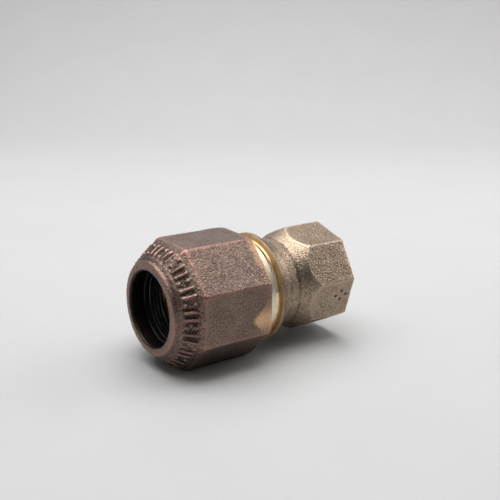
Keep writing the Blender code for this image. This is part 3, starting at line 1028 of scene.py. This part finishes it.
# the land and the spigot: pale, with one broad satin highlight
land_bronze = turned_metal("bright_turned_bronze", "#f0e4d0", "#dccbaf", 0.36, 0.35 * MM, 0.004 * MM)
# the shoulder's slanted face: yellow where the cut is freshest, and its side: browner from handling
rim_brass = turned_metal("golden_turned_rim", "#e6c596", "#cda974", 0.5, 0.3 * MM, 0.004 * MM)
rim_bronze = turned_metal("dull_turned_bronze", "#8d7c6c", "#75665a", 0.4, 0.3 * MM, 0.01 * MM)
# the body's bores: yellowish and satin, and the nut's: painted near-black, a painted shade for the deep inside
# of its bore
bore_bronze = turned_metal("turned_bronze_bore", "#b59a74", "#8d744f", 0.34, 0.3 * MM, 0.01 * MM)
bore_painted_shade = turned_metal("turned_bore_painted_shade", "#2e2825", "#201b19", 0.5, 0.3 * MM, 0.01 * MM)
# the packing's metals: steel darkened to a painted shade for the ring deep inside the nut, yellow brass,
# reddish drawn wire
grip_steel_painted_shade = turned_metal("turned_stainless_steel", "#58595a", "#404040", 0.42, 0.25 * MM, 0.008 * MM)
washer_brass = turned_metal("stamped_brass", "#c2a264", "#a08250", 0.33, 0.5 * MM, 0.006 * MM)
wire_bronze = turned_metal("drawn_phosphor_bronze", "#c58f62", "#a3724b", 0.3, 0.1 * MM, 0.002 * MM)
print("turned metals up to", wire_bronze.name)


# %% [markdown]
# Rubber and acetal are both black, and only their shine tells them apart: rubber stays dull and a little grey
# whatever the light does, while acetal has a waxy highlight. The mould's own texture is a very faint bump.

# %% Rubber and acetal
def moulded(name, tone, worn, roughness, grain):
    """Moulded polymer: even colour, with a faint texture from the mould."""
    material, tree, shader = new_material(name, 0.0, roughness)
    haze = grain_noise(tree, grain)
    mottled = blend(tree, stretch(tree, haze.outputs["Fac"], 0.4, 0.7), tone, worn)
    tree.links.new(mottled, shader.inputs["Base Color"])
    bump = add_node(
        tree, "ShaderNodeBump", {"Strength": 0.4, "Distance": 0.02 * MM}, {"Height": haze.outputs["Fac"]}
    )
    tree.links.new(bump.outputs["Normal"], shader.inputs["Normal"])
    return material


rubber = moulded("moulded_nitrile_rubber", "#141414", "#1e1d1c", 0.62, 0.4 * MM)
acetal = moulded("moulded_black_acetal", "#0f0f10", "#17171a", 0.4, 0.8 * MM)
print("polymers:", rubber.name, "and", acetal.name)


# %% [markdown]
# A casting and its machined faces are one piece of metal with several finishes, so the faces are sorted by
# where they lie: behind the shoulder and outside they are as cast, the rim is golden, the rest is turned. It
# could be done by selecting faces and pressing Assign, but the rule below doesn't depend on the face count.

# %% Finishes on the castings
SHARP_EDGE = math.radians(32)  # edges steeper than this stay sharp
NEAR = 0.01 * MM


def finish_faces(piece, finishes, choose):
    """Gives each face the finish that `choose` names for its station, radius and normal."""
    piece.data.materials.clear()
    for finish in finishes:
        piece.data.materials.append(finish)
    for face in piece.data.polygons:
        middle = face.center
        face.material_index = finishes.index(choose(middle.x, radius_of(middle), face.normal))
    only(piece)
    bpy.ops.object.shade_smooth_by_angle(angle=SHARP_EDGE)
    print(piece.name, "has", len(piece.data.polygons), "faces and", len(finishes), "finishes")


def nut_inner_limit(x):
    """A radius between the nut's bore and its outside at each station."""
    if x < LIP_BACK - 0.05 * MM:
        return TUBE_WAY + 0.3 * MM
    return THREAD_MAJOR + THREAD_CLEARANCE + MM


def nut_finish(x, radius, normal):
    bored = x > MOUTH + MOUTH_ROUND and radius < nut_inner_limit(x)
    # inside the nut the bore takes the near-black finish, which is painted shade
    return bore_painted_shade if bored else nut_bronze


def body_finish(x, radius, normal):
    if x > RIM_END - 0.05 * MM:
        return bore_bronze if radius < PIPE_MAJOR + 0.9 * MM else body_bronze
    if x > SHOULDER_FRONT and radius > LAND_RADIUS + NEAR:
        return rim_brass if normal.x < -0.3 else rim_bronze
    if radius > LAND_RADIUS - NEAR and x > SHOULDER_FRONT - POLISHED_LENGTH:
        return polished_bronze
    return land_bronze if radius > THREAD_CORE - 0.5 * MM else bore_bronze


body_finishes = [body_bronze, land_bronze, rim_brass, bore_bronze, rim_bronze, polished_bronze]
finish_faces(nut, [nut_bronze, bore_painted_shade], nut_finish)
finish_faces(casting, body_finishes, body_finish)
for ring, finish in (
    (slip_washer, acetal),
    (backing_washer, washer_brass),
    (grip_ring, grip_steel_painted_shade),
    (gasket, rubber),
    (armour_spring, wire_bronze),
):
    finish_faces(ring, [finish], lambda x, radius, normal: finish)

# %% [markdown]
# ## Riding on the frame
#
# The nut turns on the packing's body, the packing slides on the casting's, and each made piece rides on the
# body that its CAD node belongs to. It also takes that node's place in the render. The table also lists each
# node's material slot, which nothing here uses.

# %% Rides and replacements, with the slots listed
for piece, body, node, slot in (
    (casting, "body", "body", "cast_bronze"),
    (nut, "nut", "compression_nut", "oxidised_bronze"),
    (slip_washer, "packing", "slip_washer", "acetal"),
    (grip_ring, "packing", "grip_ring", "stainless_steel"),
    (backing_washer, "packing", "backing_washer", "turned_brass"),
    (gasket, "packing", "gasket", "nitrile_rubber"),
    (armour_spring, "packing", "armour_spring", "phosphor_bronze"),
):
    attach(piece, body)
    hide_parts(node)
    print(piece.name, "rides on", body)

# %% [markdown]
# ## Floor and light
#
# The stage is a pale grey sheet that curves up into a wall some way behind the fitting. Two planes would show
# a line where they meet. The sheet is one plane whose far edge is extruded along a quarter circle and then
# straight up, and it is turned to face the camera afterwards.

# %% Stage
FLOOR = nut_low.z
WALL_DISTANCE = 560 * MM
SWEEP = 160 * MM
SWEEP_STEPS = 16
WALL_HEIGHT = 1.5
HALF_WIDTH = 2.5
away = Vector((-towards_camera.x, -towards_camera.y, 0)).normalized()
bpy.ops.object.select_all(action="DESELECT")
bpy.ops.mesh.primitive_plane_add(size=2 * HALF_WIDTH, location=(0, 0, 0))
stage = bpy.context.object
stage.name = "stage_sheet"
open_mesh(stage, "EDGE")
pick(stage, "EDGE", lambda place, edge: place.y > HALF_WIDTH - 0.01)
bpy.ops.transform.translate(value=(0, WALL_DISTANCE - SWEEP - HALF_WIDTH, 0))
for step in range(SWEEP_STEPS):
    before, after = (math.pi / 2 * s / SWEEP_STEPS for s in (step, step + 1))
    rise = SWEEP * (math.cos(before) - math.cos(after))
    run = SWEEP * (math.sin(after) - math.sin(before))
    bpy.ops.mesh.extrude_region_move(TRANSFORM_OT_translate={"value": (0, run, rise)})
bpy.ops.mesh.extrude_region_move(TRANSFORM_OT_translate={"value": (0, 0, WALL_HEIGHT)})
close_mesh()
heading = math.atan2(-away.x, away.y)
stage.data.transform(Matrix.Translation((0, 0, FLOOR)) @ Matrix.Rotation(heading, 4, "Z"))
only(stage)
bpy.ops.object.shade_smooth()
paper, paper_tree, paper_shader = new_material("matt_paper", 0.0, 0.9)
fibre = grain_noise(paper_tree, 30 * MM)
paper_tone = blend(paper_tree, stretch(paper_tree, fibre.outputs["Fac"], 0.3, 0.7), "#b5b5b5", "#b7b7b7")
paper_tree.links.new(paper_tone, paper_shader.inputs["Base Color"])
stage.data.materials.append(paper)
print("sheet curves up", round(WALL_DISTANCE / MM), "mm behind the fitting")


# %% [markdown]
# A wide soft light hangs overhead, a weak one fills from the left, one from the right rear draws the edge of
# the pipe end and one lights the wall. The world stands for the rest of the room. Its side towards the camera
# is left dark, and the dark reflections that this gives are what makes metal look like metal.

# %% Lights
def soft_light(name, place, aim, size, power):
    """A square area light at `place` facing `aim`, with its size in metres and its power in watts."""
    data = bpy.data.lights.new(name, "AREA")
    data.shape = "SQUARE"
    data.size = size
    data.energy = power
    light = bpy.data.objects.new(name, data)
    bpy.context.scene.collection.objects.link(light)
    facing_aim = (Vector(place) - Vector(aim)).to_track_quat("Z", "Y").to_matrix().to_4x4()
    light.matrix_world = Matrix.Translation(place) @ facing_aim


side = Vector((away.y, -away.x, 0))  # to the camera's right
soft_light("overhead", away * 0.08 - side * 0.08 + Vector((0, 0, 0.60)), (0, 0, 0), 0.75, 6.3)
soft_light("left_fill", -side * 0.6 + Vector((0, 0, 0.25)), (0, 0, 0), 0.4, 0.2)
soft_light("right_back", side * 0.5 + away * 0.25 + Vector((0, 0, 0.3)), (0, 0, 0), 0.4, 1.4)
wall_spot = away * WALL_DISTANCE + Vector((0, 0, 0.2))
soft_light("backdrop_light", away * 0.1 + Vector((0, 0, 0.75)), wall_spot, 0.5, 1.3)

ROOM_STRENGTH = 0.58
world = bpy.data.worlds.new("studio")
bpy.context.scene.world = world
world.use_nodes = True
room = world.node_tree
direction = add_node(room, "ShaderNodeTexCoord")
facing = add_node(
    room,
    "ShaderNodeVectorMath",
    {"operation": "DOT_PRODUCT", 1: (-away.x, -away.y, 0.0)},
    {0: direction.outputs["Generated"]},
)
tone = blend(room, stretch(room, facing.outputs["Value"], 0.2, 0.8), "#c4c4c4", "#1c1c1c")
room.links.new(tone, room.nodes["Background"].inputs["Color"])
room.nodes["Background"].inputs["Strength"].default_value = ROOM_STRENGTH
bpy.context.scene.view_settings.view_transform = "Standard"
print(len(bpy.data.lights), "soft lights")
